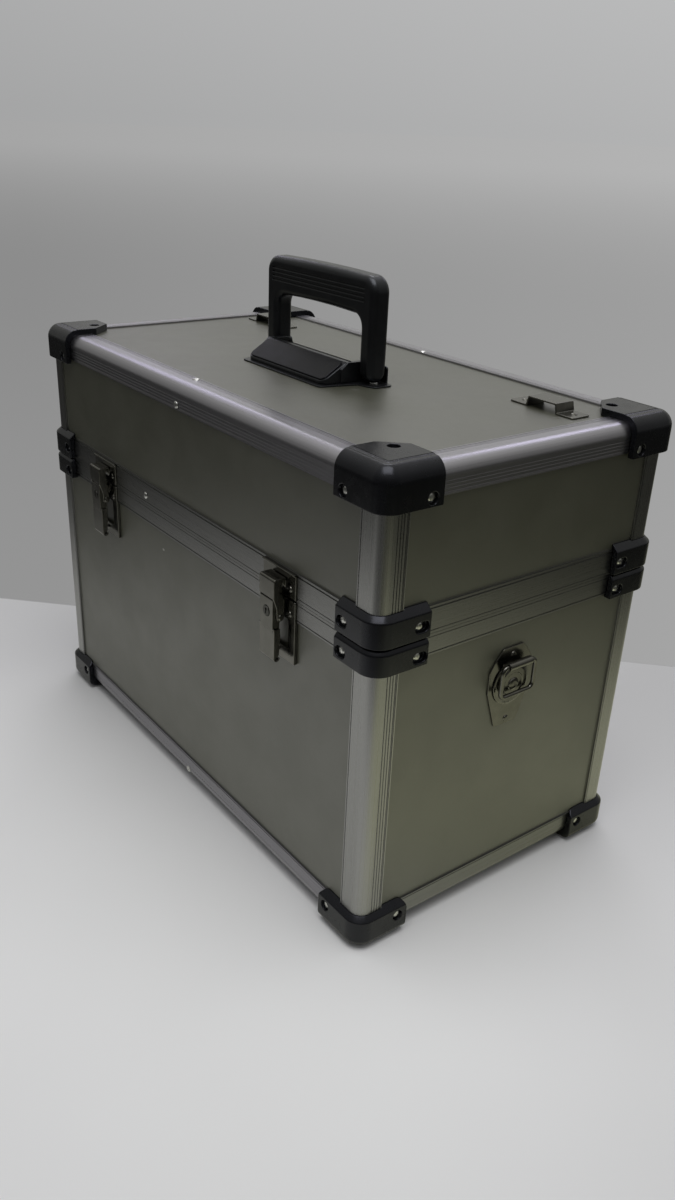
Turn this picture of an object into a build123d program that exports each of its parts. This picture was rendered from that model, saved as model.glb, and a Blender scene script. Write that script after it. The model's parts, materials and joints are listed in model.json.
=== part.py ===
from build123d import *
import math
import os

os.makedirs("parts", exist_ok=True)

# Aluminium-framed hard case: a lid on two rear hinges, two front draw latches with key
# locks, a fold-down carrying handle, two strap staples and two strap rings.
# Millimetres. +Z up, latches towards -Y, hinges towards +Y, origin on the ground under
# the middle of the case.

# ---------------------------------------------------------------- driving dimensions
XE, YE = 217.2, 117.8          # outer faces of the aluminium frame (half width, half depth)
ZB, ZT = 6.0, 322.2            # underside and top of the aluminium frame
R_FRAME = 8.5                  # outer radius of the frame's edges
LEG = 19.0                     # leg of the corner extrusion
WALL = 1.3                     # wall of the extrusion, and step down to the panels
PANEL_T = 4.0                  # laminated panel
SLOT = 8.2                     # panel edge, measured in from the frame's outer face
INNER_T = 1.2                  # inner leg of the panel slot
CORE = 8.0                     # corner core of the extrusion
GROOVES = (10.2, 12.3, 14.4, 16.5)   # fine grooves on each leg
GROOVE_W, GROOVE_D = 0.8, 0.4

Z_SEAM = 219.3                 # hinge axis height and split between lid and body
LID_RIM = (219.4, 237.6)       # lid rim extrusion
BODY_RIM = (205.2, 219.2)      # body rim extrusion
TONGUE_Z = 222.2               # top of the tongue on the body rim

GX, GY, GZ = 221.4, 122.0, 326.4     # outer faces of the plastic guards
R_GUARD = 11.0
GAP = 0.1                      # assembly gap between guards and frame
TOP_ARM_X, TOP_ARM_Y, TOP_GUARD_Z = 178.2, 79.4, 300.1
BELT_ARM_X, BELT_ARM_Y = 184.6, 80.8
BASE_ARM_X, BASE_ARM_Y = 179.6, 80.0
BASE_GUARD_Z = 2.4             # underside of the base guards
FOOT_Z = 0.0

HINGE_X = 130.0                # hinge centres
HINGE_Y = 122.3                # hinge axis
HINGE_L = 60.0
HINGE_R, HINGE_PIN_R = 3.1, 1.6

LATCH_X = 123.5                # latch centres
P1 = (6.2, 214.8)              # lever pivot: distance in front of the frame face, height
P2 = (5.2, 205.7)              # hook pivot

HANDLE_A, HANDLE_B = 64.2, 50.0      # outer and inner half width of the carrying handle
HANDLE_D = 7.75                # half depth of the handle
HANDLE_TOP, HANDLE_UNDER = 394.2, 367.6
HANDLE_ARCH = 1.4              # rise of the bar's top and underside at mid length
HANDLE_Z = 330.4               # handle pivot height
LUG_Y, LUG_Z = -3.0, 164.0     # centre of the strap swivel on each side
RING_X, RING_Z = 223.3, 180.5  # ring pivot
RUN = 0.05                     # radial running clearance


# ---------------------------------------------------------------- helpers
def bx(x0, x1, y0, y1, z0, z1):
    return Pos((x0 + x1) / 2, (y0 + y1) / 2, (z0 + z1) / 2) * Box(
        abs(x1 - x0), abs(y1 - y0), abs(z1 - z0)
    )


def cyl(p, d, r, h):
    return Solid.make_cylinder(r, h, Plane(origin=p, z_dir=d))


def prism(pts, vec):
    return Solid.extrude(Face(Wire.make_polygon([Vector(*p) for p in pts])), Vector(*vec))


def solids(shape):
    if isinstance(shape, (list, tuple)):
        out = []
        for s in shape:
            out += solids(s)
        return out
    return list(shape.solids())


def soft(shape, edges, r):
    """Round the given edges, leaving the shape as it is where the kernel can't."""
    edges = list(edges)
    if not edges:
        return shape
    try:
        out = fillet(edges, r)
        if out.is_valid and out.volume > 0:
            return out
    except Exception:
        pass
    print("edge rounding left out:", len(edges), "edges at", r)
    return shape


def drill(items, cutters):
    """Cut each cutter from the solids that it reaches."""
    out = []
    for s in solids(items):
        b = s.bounding_box()
        for c in cutters:
            k = c.bounding_box()
            if (
                k.min.X < b.max.X and k.max.X > b.min.X
                and k.min.Y < b.max.Y and k.max.Y > b.min.Y
                and k.min.Z < b.max.Z and k.max.Z > b.min.Z
            ):
                s = s - c
                s = max(solids(s), key=lambda q: q.volume)
        out.append(s)
    return out


def mirror_x(shape):
    return [s.mirror(Plane.YZ) for s in solids(shape)]


def mirror_y(shape):
    return [s.mirror(Plane.XZ) for s in solids(shape)]


def four(shape):
    two = solids(shape) + mirror_x(shape)
    return two + mirror_y(two)


def rounded_case(x, y, z0, z1, r):
    b = bx(-x, x, -y, y, z0, z1)
    return fillet(b.edges(), r)


ENVELOPE = rounded_case(XE, YE, ZB, ZT, R_FRAME)
CAVITY = rounded_case(XE + GAP, YE + GAP, ZB - GAP, ZT + GAP, R_FRAME + GAP)
# the long and short bars stop short of the corner balls, which the guards cover
BAR_END = 9.2
ENVELOPE_X = bx(-XE + BAR_END, XE - BAR_END, -YE, YE, ZB, ZT)
ENVELOPE_X = fillet(ENVELOPE_X.edges().filter_by(Axis.X), R_FRAME)
ENVELOPE_Y = bx(-XE, XE, -YE + BAR_END, YE - BAR_END, ZB, ZT)
ENVELOPE_Y = fillet(ENVELOPE_Y.edges().filter_by(Axis.Y), R_FRAME)

FRONT_WEDGE = prism(
    [(-XE, -YE, -5), (XE, -YE, -5), (XE - 60, -YE + 60, -5), (-XE + 60, -YE + 60, -5)],
    (0, 0, 400),
)
RIGHT_WEDGE = prism(
    [(XE, -YE, -5), (XE, YE, -5), (XE - 60, YE - 60, -5), (XE - 60, -YE + 60, -5)],
    (0, 0, 400),
)


def rivet(p, d, head_r, head_h, shank_r, length, tail_r=0.0, tail_h=0.0):
    """A domed rivet: p is the seat under the head, d points out of the surface."""
    pts = [(0, head_h), (head_r * 0.55, head_h * 0.86), (head_r * 0.88, head_h * 0.48), (head_r, 0.0)]
    pts += [(shank_r, 0.0)]
    if tail_h:
        pts += [(shank_r, -length), (tail_r, -length), (tail_r * 0.8, -length - tail_h), (0, -length - tail_h)]
    else:
        pts += [(shank_r, -length), (0, -length)]
    plane = Plane(origin=p, z_dir=d)
    face = Face(Wire.make_polygon([plane.from_local_coords(Vector(a, 0, b)) for a, b in pts]))
    return Solid.revolve(face, 360, Axis(Vector(*p), Vector(*d)))


def bore(p, d, r, length):
    """The hole for a rivet's shank, from its seat p inwards."""
    return cyl(p, tuple(-v for v in d), r, length)


# ---------------------------------------------------------------- corner extrusion
# u runs in from one outer face, v from the other. The two legs hold the panels' edges
# between an outer and an inner leg, with a hollow core at the corner.
def extrusion_boxes():
    inner0 = WALL + PANEL_T
    return [(0, LEG, 0, WALL), (0, WALL, 0, LEG), (0, CORE, 0, CORE),
            (inner0, 17.0, inner0, inner0 + INNER_T), (inner0, inner0 + INNER_T, inner0, 17.0)]


# every leg has one groove near its edge; the fine ones are on one leg only
EDGE_GROOVE = [(17.5, 18.15)]
ALL_GROOVES = EDGE_GROOVE + [(g, g + GROOVE_W) for g in GROOVES]
# the top face of the upper bars has two hair lines beside the panel
TOP_LINES = [(14.2, 14.6), (15.9, 16.3)]


def bar_x(sign_z, z_face):
    """Extrusion along X at the front edge; sign_z +1 at the top, -1 at the bottom."""
    solid_boxes = extrusion_boxes()
    out = None
    for u0, u1, v0, v1 in solid_boxes:      # u along y, v along z
        b = bx(-XE, XE, -YE + u0, -YE + u1, z_face - sign_z * v0, z_face - sign_z * v1)
        out = b if out is None else out + b
    # fine grooves on the upright leg at the top, on the underside at the bottom
    for g0, g1 in EDGE_GROOVE + TOP_LINES if sign_z > 0 else ALL_GROOVES:
        out -= bx(-XE, XE, -YE + g0, -YE + g1, z_face + sign_z, z_face - sign_z * GROOVE_D)
    for g0, g1 in ALL_GROOVES if sign_z > 0 else EDGE_GROOVE:
        out -= bx(-XE, XE, -YE - 1, -YE + GROOVE_D, z_face - sign_z * g0, z_face - sign_z * g1)
    out -= prism(
        [(-XE, -YE + 6.7, z_face - sign_z * 2.6), (-XE, -YE + 6.7, z_face - sign_z * 6.7),
         (-XE, -YE + 2.6, z_face - sign_z * 6.7)],
        (2 * XE, 0, 0),
    )
    return solids((out & ENVELOPE_X) & FRONT_WEDGE)[0]


def bar_y(sign_z, z_face):
    """Extrusion along Y at the right edge."""
    solid_boxes = extrusion_boxes()
    out = None
    for u0, u1, v0, v1 in solid_boxes:      # u along x, v along z
        b = bx(XE - u1, XE - u0, -YE, YE, z_face - sign_z * v0, z_face - sign_z * v1)
        out = b if out is None else out + b
    for g0, g1 in EDGE_GROOVE + TOP_LINES if sign_z > 0 else ALL_GROOVES:
        out -= bx(XE - g1, XE - g0, -YE, YE, z_face + sign_z, z_face - sign_z * GROOVE_D)
    for g0, g1 in ALL_GROOVES if sign_z > 0 else EDGE_GROOVE:
        out -= bx(XE - GROOVE_D, XE + 1, -YE, YE, z_face - sign_z * g0, z_face - sign_z * g1)
    out -= prism(
        [(XE - 6.7, -YE, z_face - sign_z * 2.6), (XE - 6.7, -YE, z_face - sign_z * 6.7),
         (XE - 2.6, -YE, z_face - sign_z * 6.7)],
        (0, 2 * YE, 0),
    )
    return solids((out & ENVELOPE_Y) & RIGHT_WEDGE)[0]


def post(z0, z1, on_side):
    """Vertical extrusion at the front right corner, finely grooved on its side leg or on its front leg."""
    solid_boxes = extrusion_boxes()
    out = None
    for u0, u1, v0, v1 in solid_boxes:      # u along x, v along y
        b = bx(XE - u1, XE - u0, -YE + v0, -YE + v1, z0, z1)
        out = b if out is None else out + b
    for g0, g1 in EDGE_GROOVE if on_side else ALL_GROOVES:
        out -= bx(XE - g1, XE - g0, -YE - 1, -YE + GROOVE_D, z0, z1)
    for g0, g1 in ALL_GROOVES if on_side else EDGE_GROOVE:
        out -= bx(XE - GROOVE_D, XE + 1, -YE + g0, -YE + g1, z0, z1)
    out -= prism([(XE - 6.7, -YE + 2.6, z0), (XE - 6.7, -YE + 6.7, z0), (XE - 2.6, -YE + 6.7, z0)], (0, 0, z1 - z0))
    return solids(out & ENVELOPE)[0]


def rim_x(boxes, cuts):
    """Rim extrusion along the front, from (depth0, depth1, z0, z1) boxes."""
    out = None
    for d0, d1, z0, z1 in boxes:
        b = bx(-XE, XE, -YE + d0, -YE + d1, z0, z1)
        out = b if out is None else out + b
    for d0, d1, z0, z1 in cuts:
        out -= bx(-XE, XE, -YE + d0, -YE + d1, z0, z1)
    return solids((out & ENVELOPE) & FRONT_WEDGE)[0]


def rim_y(boxes, cuts):
    out = None
    for d0, d1, z0, z1 in boxes:
        b = bx(XE - d1, XE - d0, -YE, YE, z0, z1)
        out = b if out is None else out + b
    for d0, d1, z0, z1 in cuts:
        out -= bx(XE - d1, XE - d0, -YE, YE, z0, z1)
    return solids((out & ENVELOPE) & RIGHT_WEDGE)[0]


top_bar_x = bar_x(1, ZT)
top_bar_y = bar_y(1, ZT)
base_bar_x = bar_x(-1, ZB)
base_bar_y = bar_y(-1, ZB)
lid_posts = [post(LID_RIM[1] + 0.1, ZT - LEG - 0.1, side) for side in (True, False)]
body_posts = [post(ZB + LEG + 0.1, BODY_RIM[0] - 0.1, side) for side in (True, False)]

# Lid rim: outer band, a flange at the seam, the shelf that carries the panels, and an
# inner leg. Body rim: outer band, a flange at the seam with a tongue, and an inner leg.
LID_RIM_BOXES = [
    (0, WALL, LID_RIM[0], LID_RIM[1]),
    (0, 4.7, LID_RIM[0], LID_RIM[0] + 1.3),
    (3.5, 4.7, LID_RIM[0], 224.2),
    (0, 6.5, 223.0, 224.2),
    (5.3, 6.5, 223.0, 233.0),
]
LID_RIM_CUTS = [(-1, 0.7, 235.3, 236.3), (-1, 0.4, 221.2, 221.7)]
BODY_RIM_BOXES = [
    (0, WALL, BODY_RIM[0], BODY_RIM[1]),
    (0, 6.5, BODY_RIM[1] - 1.2, BODY_RIM[1]),
    (5.4, 6.4, BODY_RIM[1] - 1.2, TONGUE_Z),
    (5.3, 6.5, 205.4, BODY_RIM[1]),
]
BODY_RIM_CUTS = [(-1, 0.6, 206.3, 207.0), (-1, 0.4, 216.9, 217.4)]
lid_rim_x = rim_x(LID_RIM_BOXES, LID_RIM_CUTS)
lid_rim_y = rim_y(LID_RIM_BOXES, LID_RIM_CUTS)
body_rim_x = rim_x(BODY_RIM_BOXES, BODY_RIM_CUTS)
body_rim_y = rim_y(BODY_RIM_BOXES, BODY_RIM_CUTS)

# ---------------------------------------------------------------- panels
PX, PY = XE - SLOT, YE - SLOT            # panel edges in the slots
fx0, fx1 = YE - WALL - PANEL_T, YE - WALL
lid_panel_z = (224.4, ZT - SLOT)
body_panel_z = (ZB + SLOT, BODY_RIM[1] - 1.4)
lid_top_panel = bx(-PX, PX, -PY, PY, ZT - WALL - PANEL_T, ZT - WALL)
lid_front_panel = bx(-PX, PX, -fx1, -fx0, *lid_panel_z)
lid_rear_panel = bx(-PX, PX, fx0, fx1, *lid_panel_z)
lid_side_panel = bx(XE - WALL - PANEL_T, XE - WALL, -PY, PY, *lid_panel_z)
bottom_panel = bx(-PX, PX, -PY, PY, ZB + WALL, ZB + WALL + PANEL_T)
front_panel = bx(-PX, PX, -fx1, -fx0, *body_panel_z)
rear_panel = bx(-PX, PX, fx0, fx1, *body_panel_z)
side_panel = bx(XE - WALL - PANEL_T, XE - WALL, -PY, PY, *body_panel_z)

# ---------------------------------------------------------------- guards
R_HOLE = 3.7


def trim(shape, region):
    return max(solids(shape & region), key=lambda q: q.volume)


def wall_cut(shape, p, d, r, depth):
    return shape - cyl(p, tuple(-v for v in d), r, depth)


FRAME_SHELL_TOP = rounded_case(GX, GY, 150.0, GZ, R_GUARD) - CAVITY
# top guard, front right
g = trim(FRAME_SHELL_TOP, bx(TOP_ARM_X, 240, -140, -TOP_ARM_Y, TOP_GUARD_Z, 340))
g = g + bx(TOP_ARM_X, XE - LEG - 0.1, -YE + LEG + 0.1, -TOP_ARM_Y, ZT - WALL + 0.1, ZT + 1.0)
g -= prism([(165.3, -110.0, 310), (207.1, -61.8, 310), (165.3, -61.8, 310)], (0, 0, 30))
PLATEAU = 0.6
low = Plane.XY.offset(GZ - PLATEAU) * (Pos((110 + GX - 9.4) / 2, (-40 - GY + 9.4) / 2) * Rectangle(GX - 9.4 - 110, GY - 9.4 - 40))
high = Plane.XY.offset(GZ + 0.01) * (Pos((110 + GX - 10.8) / 2, (-40 - GY + 10.8) / 2) * Rectangle(GX - 10.8 - 110, GY - 10.8 - 40))
g -= bx(150, 240, -140, -60, GZ - PLATEAU, 340) - loft([low, high])
g = trim(g, bx(150, 240, -140, -60, 280, 340))
g = soft(g, [e for e in g.edges() if e.geom_type == GeomType.LINE and abs(e.center().Z - GZ) < 0.01], 0.7)
TOP_RIVETS = [
    ((186.6, -YE - GAP - 1.2, 305.0), (0, -1, 0)),
    ((XE + GAP + 1.2, -87.2, 305.0), (1, 0, 0)),
    ((190.4, -91.0, ZT - WALL + GAP + 1.2), (0, 0, 1)),
]
for p, d in TOP_RIVETS:
    out_p = tuple(a + b * 8 for a, b in zip(p, d))
    g -= cyl(p, d, R_HOLE, 8.0)
top_guard = trim(g, bx(150, 240, -140, -60, 280, 340))

# belt guards, front right: one on the lid rim and one on the body rim
def belt_shell(z0, z1):
    b = bx(-GX, GX, -GY, GY, z0, z1)
    b = fillet(b.edges().filter_by(Axis.Z), R_FRAME + GAP + 4.1)
    return b - CAVITY


def belt_guard(z0, z1, slope_top, slope_bottom):
    s = trim(belt_shell(z0, z1), bx(BELT_ARM_X, 240, -140, -BELT_ARM_Y, 150, 300))
    return s


lid_g = belt_guard(220.3, 241.0, 0, 0)
# the backs of the arms step in to the panels above the rim
lid_g += bx(BELT_ARM_X, XE - LEG - 0.1, -YE - 0.2, -YE + WALL - 0.1, LID_RIM[1] + 0.1, 241.0)
lid_g += bx(XE - WALL + 0.1, XE + 0.2, -YE + LEG + 0.1, -BELT_ARM_Y, LID_RIM[1] + 0.1, 241.0)
body_g = belt_guard(202.7, 219.0, 0, 0)
body_g += bx(BELT_ARM_X, XE - LEG - 0.1, -YE - 0.2, -YE + WALL - 0.1, 202.7, BODY_RIM[0] - 0.1)
body_g += bx(XE - WALL + 0.1, XE + 0.2, -YE + LEG + 0.1, -BELT_ARM_Y, 202.7, BODY_RIM[0] - 0.1)


def ring_slope(z_out, z_in, run, above=True):
    """The space above a face that slopes from z_out at the guard's outer face to z_in, run mm in."""
    outer = bx(-GX - 20, GX + 20, -GY - 20, GY + 20, z_out, z_out + 30)
    z1 = z_in
    low = Plane.XY.offset(z_out)
    high = Plane.XY.offset(z1)
    r = R_FRAME + GAP + 4.1
    f0 = low * RectangleRounded(2 * GX, 2 * GY, r)
    f1 = high * RectangleRounded(2 * (GX - run), 2 * (GY - run), r - run)
    core = loft([f0, f1])
    return outer - core


up = ring_slope(236.7, 241.0, 4.9)
up = up & bx(-240, 240, -140, 140, 236.7, 241.0)
lid_g = lid_g - up
low_up = ring_slope(216.6, 219.0, 1.9) & bx(-240, 240, -140, 140, 216.6, 219.0)
body_g = body_g - low_up
BELT_LID_RIVETS = [((189.6, -YE - GAP - 1.0, 228.1), (0, -1, 0)), ((XE + GAP + 1.0, -88.0, 228.1), (1, 0, 0))]
BELT_BODY_RIVETS = [((189.6, -YE - GAP - 1.0, 208.5), (0, -1, 0)), ((XE + GAP + 1.0, -88.0, 208.5), (1, 0, 0))]
R_BELT = 3.4


def obround(z):
    """Two recesses of a belt guard, one on the front arm and one on the side arm."""
    a, b_ = 189.4, 192.0
    out = cyl((a, -YE - GAP - 1.0, z), (0, -1, 0), R_BELT, 8) + cyl((b_, -YE - GAP - 1.0, z), (0, -1, 0), R_BELT, 8)
    out += bx(a, b_, -YE - GAP - 9.0, -YE - GAP - 1.0, z - R_BELT, z + R_BELT)
    c, d = -85.4, -89.0
    side = cyl((XE + GAP + 1.0, c, z), (1, 0, 0), R_BELT, 8) + cyl((XE + GAP + 1.0, d, z), (1, 0, 0), R_BELT, 8)
    side += bx(XE + GAP + 1.0, XE + GAP + 9.0, d, c, z - R_BELT, z + R_BELT)
    return out, side


for cut in obround(228.1):
    lid_g -= cut
for cut in obround(208.5):
    body_g -= cut
lid_belt_guard = trim(lid_g, bx(150, 240, -140, -60, 190, 260))
body_belt_guard = trim(body_g, bx(150, 240, -140, -60, 190, 260))

# base guard, front right, with a shallow pocket under it for the foot
base_outer = bx(-GX, GX, -GY, GY, BASE_GUARD_Z, 60)
base_outer = fillet(base_outer.edges().filter_by(Axis.Z), R_FRAME + GAP + 4.1)
base_outer = fillet(base_outer.faces().sort_by(Axis.Z)[0].edges(), 5.5)
b = trim(base_outer - CAVITY, bx(BASE_ARM_X, 240, -140, -BASE_ARM_Y, -5, 27.0))
b += bx(BASE_ARM_X, XE - LEG - 0.1, -YE - 0.2, -YE + WALL - 0.1, ZB + LEG + 0.1, 27.0)
b += bx(XE - WALL + 0.1, XE + 0.2, -YE + LEG + 0.1, -BASE_ARM_Y, ZB + LEG + 0.1, 27.0)
b += bx(BASE_ARM_X, XE - LEG - 0.1, -YE + LEG + 0.1, -BASE_ARM_Y, ZB - 1.0, ZB + WALL - 0.1)
up = ring_slope(22.5, 27.0, 5.3) & bx(-240, 240, -140, 140, 22.5, 27.0)
b -= up
BASE_RIVETS = [((187.0, -YE - GAP - 1.2, 16.6), (0, -1, 0)), ((XE + GAP + 1.2, -87.6, 16.6), (1, 0, 0))]
for p, d in BASE_RIVETS:
    b -= cyl(p, d, R_HOLE, 8.0)
# the upper corners of the arm ends are rounded
R_ARM = 7.0
b -= bx(BASE_ARM_X - 1, BASE_ARM_X + R_ARM, -130, -YE + 3, 27.0 - R_ARM, 28) - cyl(
    (BASE_ARM_X + R_ARM, -140, 27.0 - R_ARM), (0, 1, 0), R_ARM, 60)
b -= bx(XE - 3, 230, -BASE_ARM_Y - R_ARM, -BASE_ARM_Y + 1, 27.0 - R_ARM, 28) - cyl(
    (150, -BASE_ARM_Y - R_ARM, 27.0 - R_ARM), (1, 0, 0), R_ARM, 90)
# rubber foot: a rounded square button with a recessed screw
FOOT_X, FOOT_Y, FOOT_HALF = 198.4, -99.0, 17.6
foot = bx(FOOT_X - FOOT_HALF, FOOT_X + FOOT_HALF, FOOT_Y - FOOT_HALF, FOOT_Y + FOOT_HALF, FOOT_Z, 4.0)
foot = fillet(foot.edges().filter_by(Axis.Z), 7.0)
b -= foot
b_rim = foot.faces().sort_by(Axis.Z)[0].edges()
foot = soft(foot, b_rim, 1.2)
foot -= cyl((FOOT_X, FOOT_Y, FOOT_Z - 1), (0, 0, 1), 4.2, 2.6)
base_guard = trim(b, bx(150, 240, -140, -60, -5, 60))

# ---------------------------------------------------------------- rivets on the guards
lid_guard_rivets, lid_cut, body_guard_rivets, body_cut = [], [], [], []


def guard_rivet(p, d, depth, store, cuts, head=3.2):
    """One rivet, repeated at the four corners, with the holes for it."""
    r = rivet(p, d, head, 1.6, 1.6, depth, 2.4, 0.8)
    c = bore(tuple(a + b_ * 0.0 for a, b_ in zip(p, d)), d, 1.6, depth + 0.01)
    store += four(r)
    cuts += four(c)


STACK = GAP + 1.2 + WALL + PANEL_T + INNER_T     # from seat to the inner leg's inside face
for i, (p, d) in enumerate(TOP_RIVETS):
    guard_rivet(p, d, 1.2 + PANEL_T + 0.1 if i == 2 else STACK, lid_guard_rivets, lid_cut)
for p, d in BELT_LID_RIVETS:
    guard_rivet(p, d, GAP + 1.0 + WALL + PANEL_T + INNER_T, lid_guard_rivets, lid_cut, 3.0)
for p, d in BELT_BODY_RIVETS:
    guard_rivet(p, d, GAP + 1.0 + WALL + PANEL_T + INNER_T, body_guard_rivets, body_cut, 3.0)
for p, d in BASE_RIVETS:
    guard_rivet(p, d, STACK, body_guard_rivets, body_cut)

# ---------------------------------------------------------------- frame rivets at mid length
lid_frame_rivets, body_frame_rivets = [], []


def frame_rivet(p, d, depth, store, cuts, mirror=None, tail=0.8):
    r = rivet(p, d, 2.6, 1.0, 1.5, depth, 2.2 if tail else 0.0, tail)
    c = bore(p, d, 1.5, depth + 0.01)
    rs, cs = [r], [c]
    if mirror == "y":
        rs += mirror_y(r)
        cs += mirror_y(c)
    if mirror == "x":
        rs += mirror_x(r)
        cs += mirror_x(c)
    if mirror == "xy":
        rs, cs = four(r), four(c)
    store += rs
    cuts += cs


FULL = WALL + PANEL_T + INNER_T
frame_rivet((-5.5, -101.8, ZT), (0, 0, 1), FULL, lid_frame_rivets, lid_cut, "y")
frame_rivet((-5.5, -YE, 306.8), (0, -1, 0), FULL, lid_frame_rivets, lid_cut, "y")
frame_rivet((-57.2, -YE, 226.4), (0, -1, 0), FULL, lid_frame_rivets, lid_cut, "y")
# this one ends in the corner core, so it is a drive rivet with no set tail
frame_rivet((-2.2, -YE, 13.0), (0, -1, 0), 6.0, body_frame_rivets, body_cut, "y", tail=0.0)

# foot screws, up through the foot and the guard into the frame
foot_screw = rivet((FOOT_X, FOOT_Y, FOOT_Z + 1.6), (0, 0, -1), 4.0, 1.2, 1.8, 11.3 - 1.6 + 0.0, 0, 0)
# recess in the head
foot_screw -= bx(FOOT_X - 2.2, FOOT_X + 2.2, FOOT_Y - 0.4, FOOT_Y + 0.4, FOOT_Z, FOOT_Z + 1.1)
foot_screw -= bx(FOOT_X - 0.4, FOOT_X + 0.4, FOOT_Y - 2.2, FOOT_Y + 2.2, FOOT_Z, FOOT_Z + 1.1)
foot_screw = solids(foot_screw)[0]
foot_cut = cyl((FOOT_X, FOOT_Y, FOOT_Z + 1.6), (0, 0, 1), 1.8, 9.71)
body_cut += four(foot_cut)

# ---------------------------------------------------------------- front latches
lid_hardware, body_hardware = [], []


def L(dx0, dx1, o0, o1, z0, z1, cx=LATCH_X):
    """A box in latch coordinates: across, out from the frame's front face, height."""
    return bx(cx + dx0, cx + dx1, -YE - o1, -YE - o0, z0, z1)


def LP(dx, pts, width, cx=LATCH_X):
    """A plate of the given width across, from outline points (out, height)."""
    return prism([(cx + dx, -YE - o, z) for o, z in pts], (width, 0, 0))


def LC(dx0, dx1, p, r, cx=LATCH_X):
    """A cylinder across the latch."""
    return cyl((cx + dx0, -YE - p[0], p[1]), (1, 0, 0), r, dx1 - dx0)


# keeper: plate on the lid rim with a folded top edge and a hump that the hook draws on
keeper = L(-17.7, 17.7, 0, 1.2, 219.6, 236.8)
keeper = keeper + L(-17.7, 17.7, 0, 2.4, 235.6, 236.8)
hump = LP(-7.0, [(0.6, 224.6), (1.2, 224.6), (3.4, 228.0), (3.4, 229.6), (2.6, 230.4), (0.6, 230.4)], 14.0)
keeper = keeper + hump
KEEPER_RIVETS = [(12.0, 225.6), (-12.0, 225.6)]

# base: plate below the seam with two ears for the lever pin and a strike for the lock's cam
base = L(-17.7, 17.7, 0, 1.2, 175.3, 218.4)
base = base + L(-17.7, -16.5, -1.25, 1.2, 175.3, 205.0) + L(16.5, 17.7, -1.25, 1.2, 175.3, 205.0)
base = base + L(-17.7, 17.7, -1.25, 1.2, 175.3, 176.5)
for s in (-1, 1):
    lo, hi = (4.6, 5.8) if s > 0 else (-5.8, -4.6)
    ear = LP(lo, [(0.6, 209.9), (6.2, 211.9), (6.2, 217.7), (3.0, 216.9), (0.6, 215.8)], hi - lo) + LC(lo, hi, P1, 2.9)
    base = base + ear
base = base + L(4.6, 5.8, 0.6, 4.6, 208.0, 211.5) + L(3.9, 5.0, 3.5, 4.6, 208.0, 211.0)
base -= LC(-10, 10, P1, 1.5)
window = L(-10.6, 10.6, -0.5, 2.0, 183.6, 204.6)     # behind the lever
window = fillet(window.edges().filter_by(Axis.Y), 1.5)
base -= window
BASE_LATCH_RIVETS = [(11.8, 208.6), (-11.8, 208.6), (0.0, 179.9)]
base = soft(base, [e for e in base.edges() if e.geom_type == GeomType.LINE and abs(e.length - 1.2) < 0.02
                   and abs(abs(e.center().X - LATCH_X) - 17.7) < 0.01 and e.center().Z > 218], 1.0)

pivot_pin = LC(-6.9, 6.9, P1, 1.5)

# lever: a channel with a lock cylinder in its upper part and a rolled finger tip
lever = L(-6.95, 6.95, 9.3, 10.5, 196.4, 218.0)
side = [(10.5, 197.5), (10.5, 218.0), (8.4, 218.6), (4.6, 218.0), (3.0, 214.0), (2.6, 206.0), (3.6, 203.0), (5.0, 202.0), (5.2, 197.5)]
for lo in (-6.95, 5.95):
    lever = lever + LP(lo, side, 1.0)
lever = lever + L(-8.3, 8.3, 8.8, 10.0, 177.6, 196.4)
lever = lever + LP(-8.3, [(9.3, 198.6), (10.5, 198.6), (10.0, 196.2), (8.8, 196.2)], 16.6)
side2 = [(10.0, 178.0), (10.0, 198.0), (5.4, 198.0), (5.2, 192.0), (6.0, 180.0), (7.2, 178.0)]
for lo in (-8.3, 7.2):
    lever = lever + LP(lo, side2, 1.1)
# rolled tip: a hooked lip at the free end
lever = lever + (LC(-8.3, 8.3, (7.6, 177.6), 2.4) - LC(-9, 9, (7.6, 177.6), 1.2) - L(-9, 9, 4.0, 7.6, 177.6, 181))
lever -= LC(-10, 10, P1, 1.5 + RUN)
lever -= LC(-10, 10, P2, 1.3)
LOCK_Z = 209.0
lever -= cyl((LATCH_X, -YE - 12, LOCK_Z), (0, 1, 0), 3.6 + RUN, 6.0)
lever = solids(lever)[0]
lever = soft(lever, [e for e in lever.edges() if e.geom_type == GeomType.LINE and abs(e.center().Y + YE + 10.5) < 0.02
                     and e.length > 15 and abs(e.center().X - LATCH_X) > 6], 0.7)

# hook: an inverted cup that passes over the keeper's hump, on two side arms
hook = L(-8.2, 8.2, 1.7, 10.5, 230.8, 232.0)
hook = hook + L(-8.2, 8.2, 9.4, 10.5, 218.8, 232.0) + L(-8.2, 8.2, 8.6, 10.5, 230.0, 232.0)
arm = [(10.5, 218.8), (10.5, 232.0), (3.4, 232.0), (4.6, 226.0), (3.9, 221.0), (2.9, 208.0), (2.5, 205.7), (5.2, 203.0), (7.9, 205.7), (8.2, 212.0)]
for lo in (-8.2, 7.15):
    hook = hook + LP(lo, arm, 1.05) + LC(lo, lo + 1.05, P2, 2.7)
hook -= LC(-10, 10, P2, 1.3 + RUN)
hook = solids(hook)[0]
hook = soft(hook, [e for e in hook.edges() if e.geom_type == GeomType.LINE and abs(e.center().Y + YE + 10.5) < 0.02
                   and abs(e.center().Z - 232.0) < 0.02], 1.6)

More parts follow.
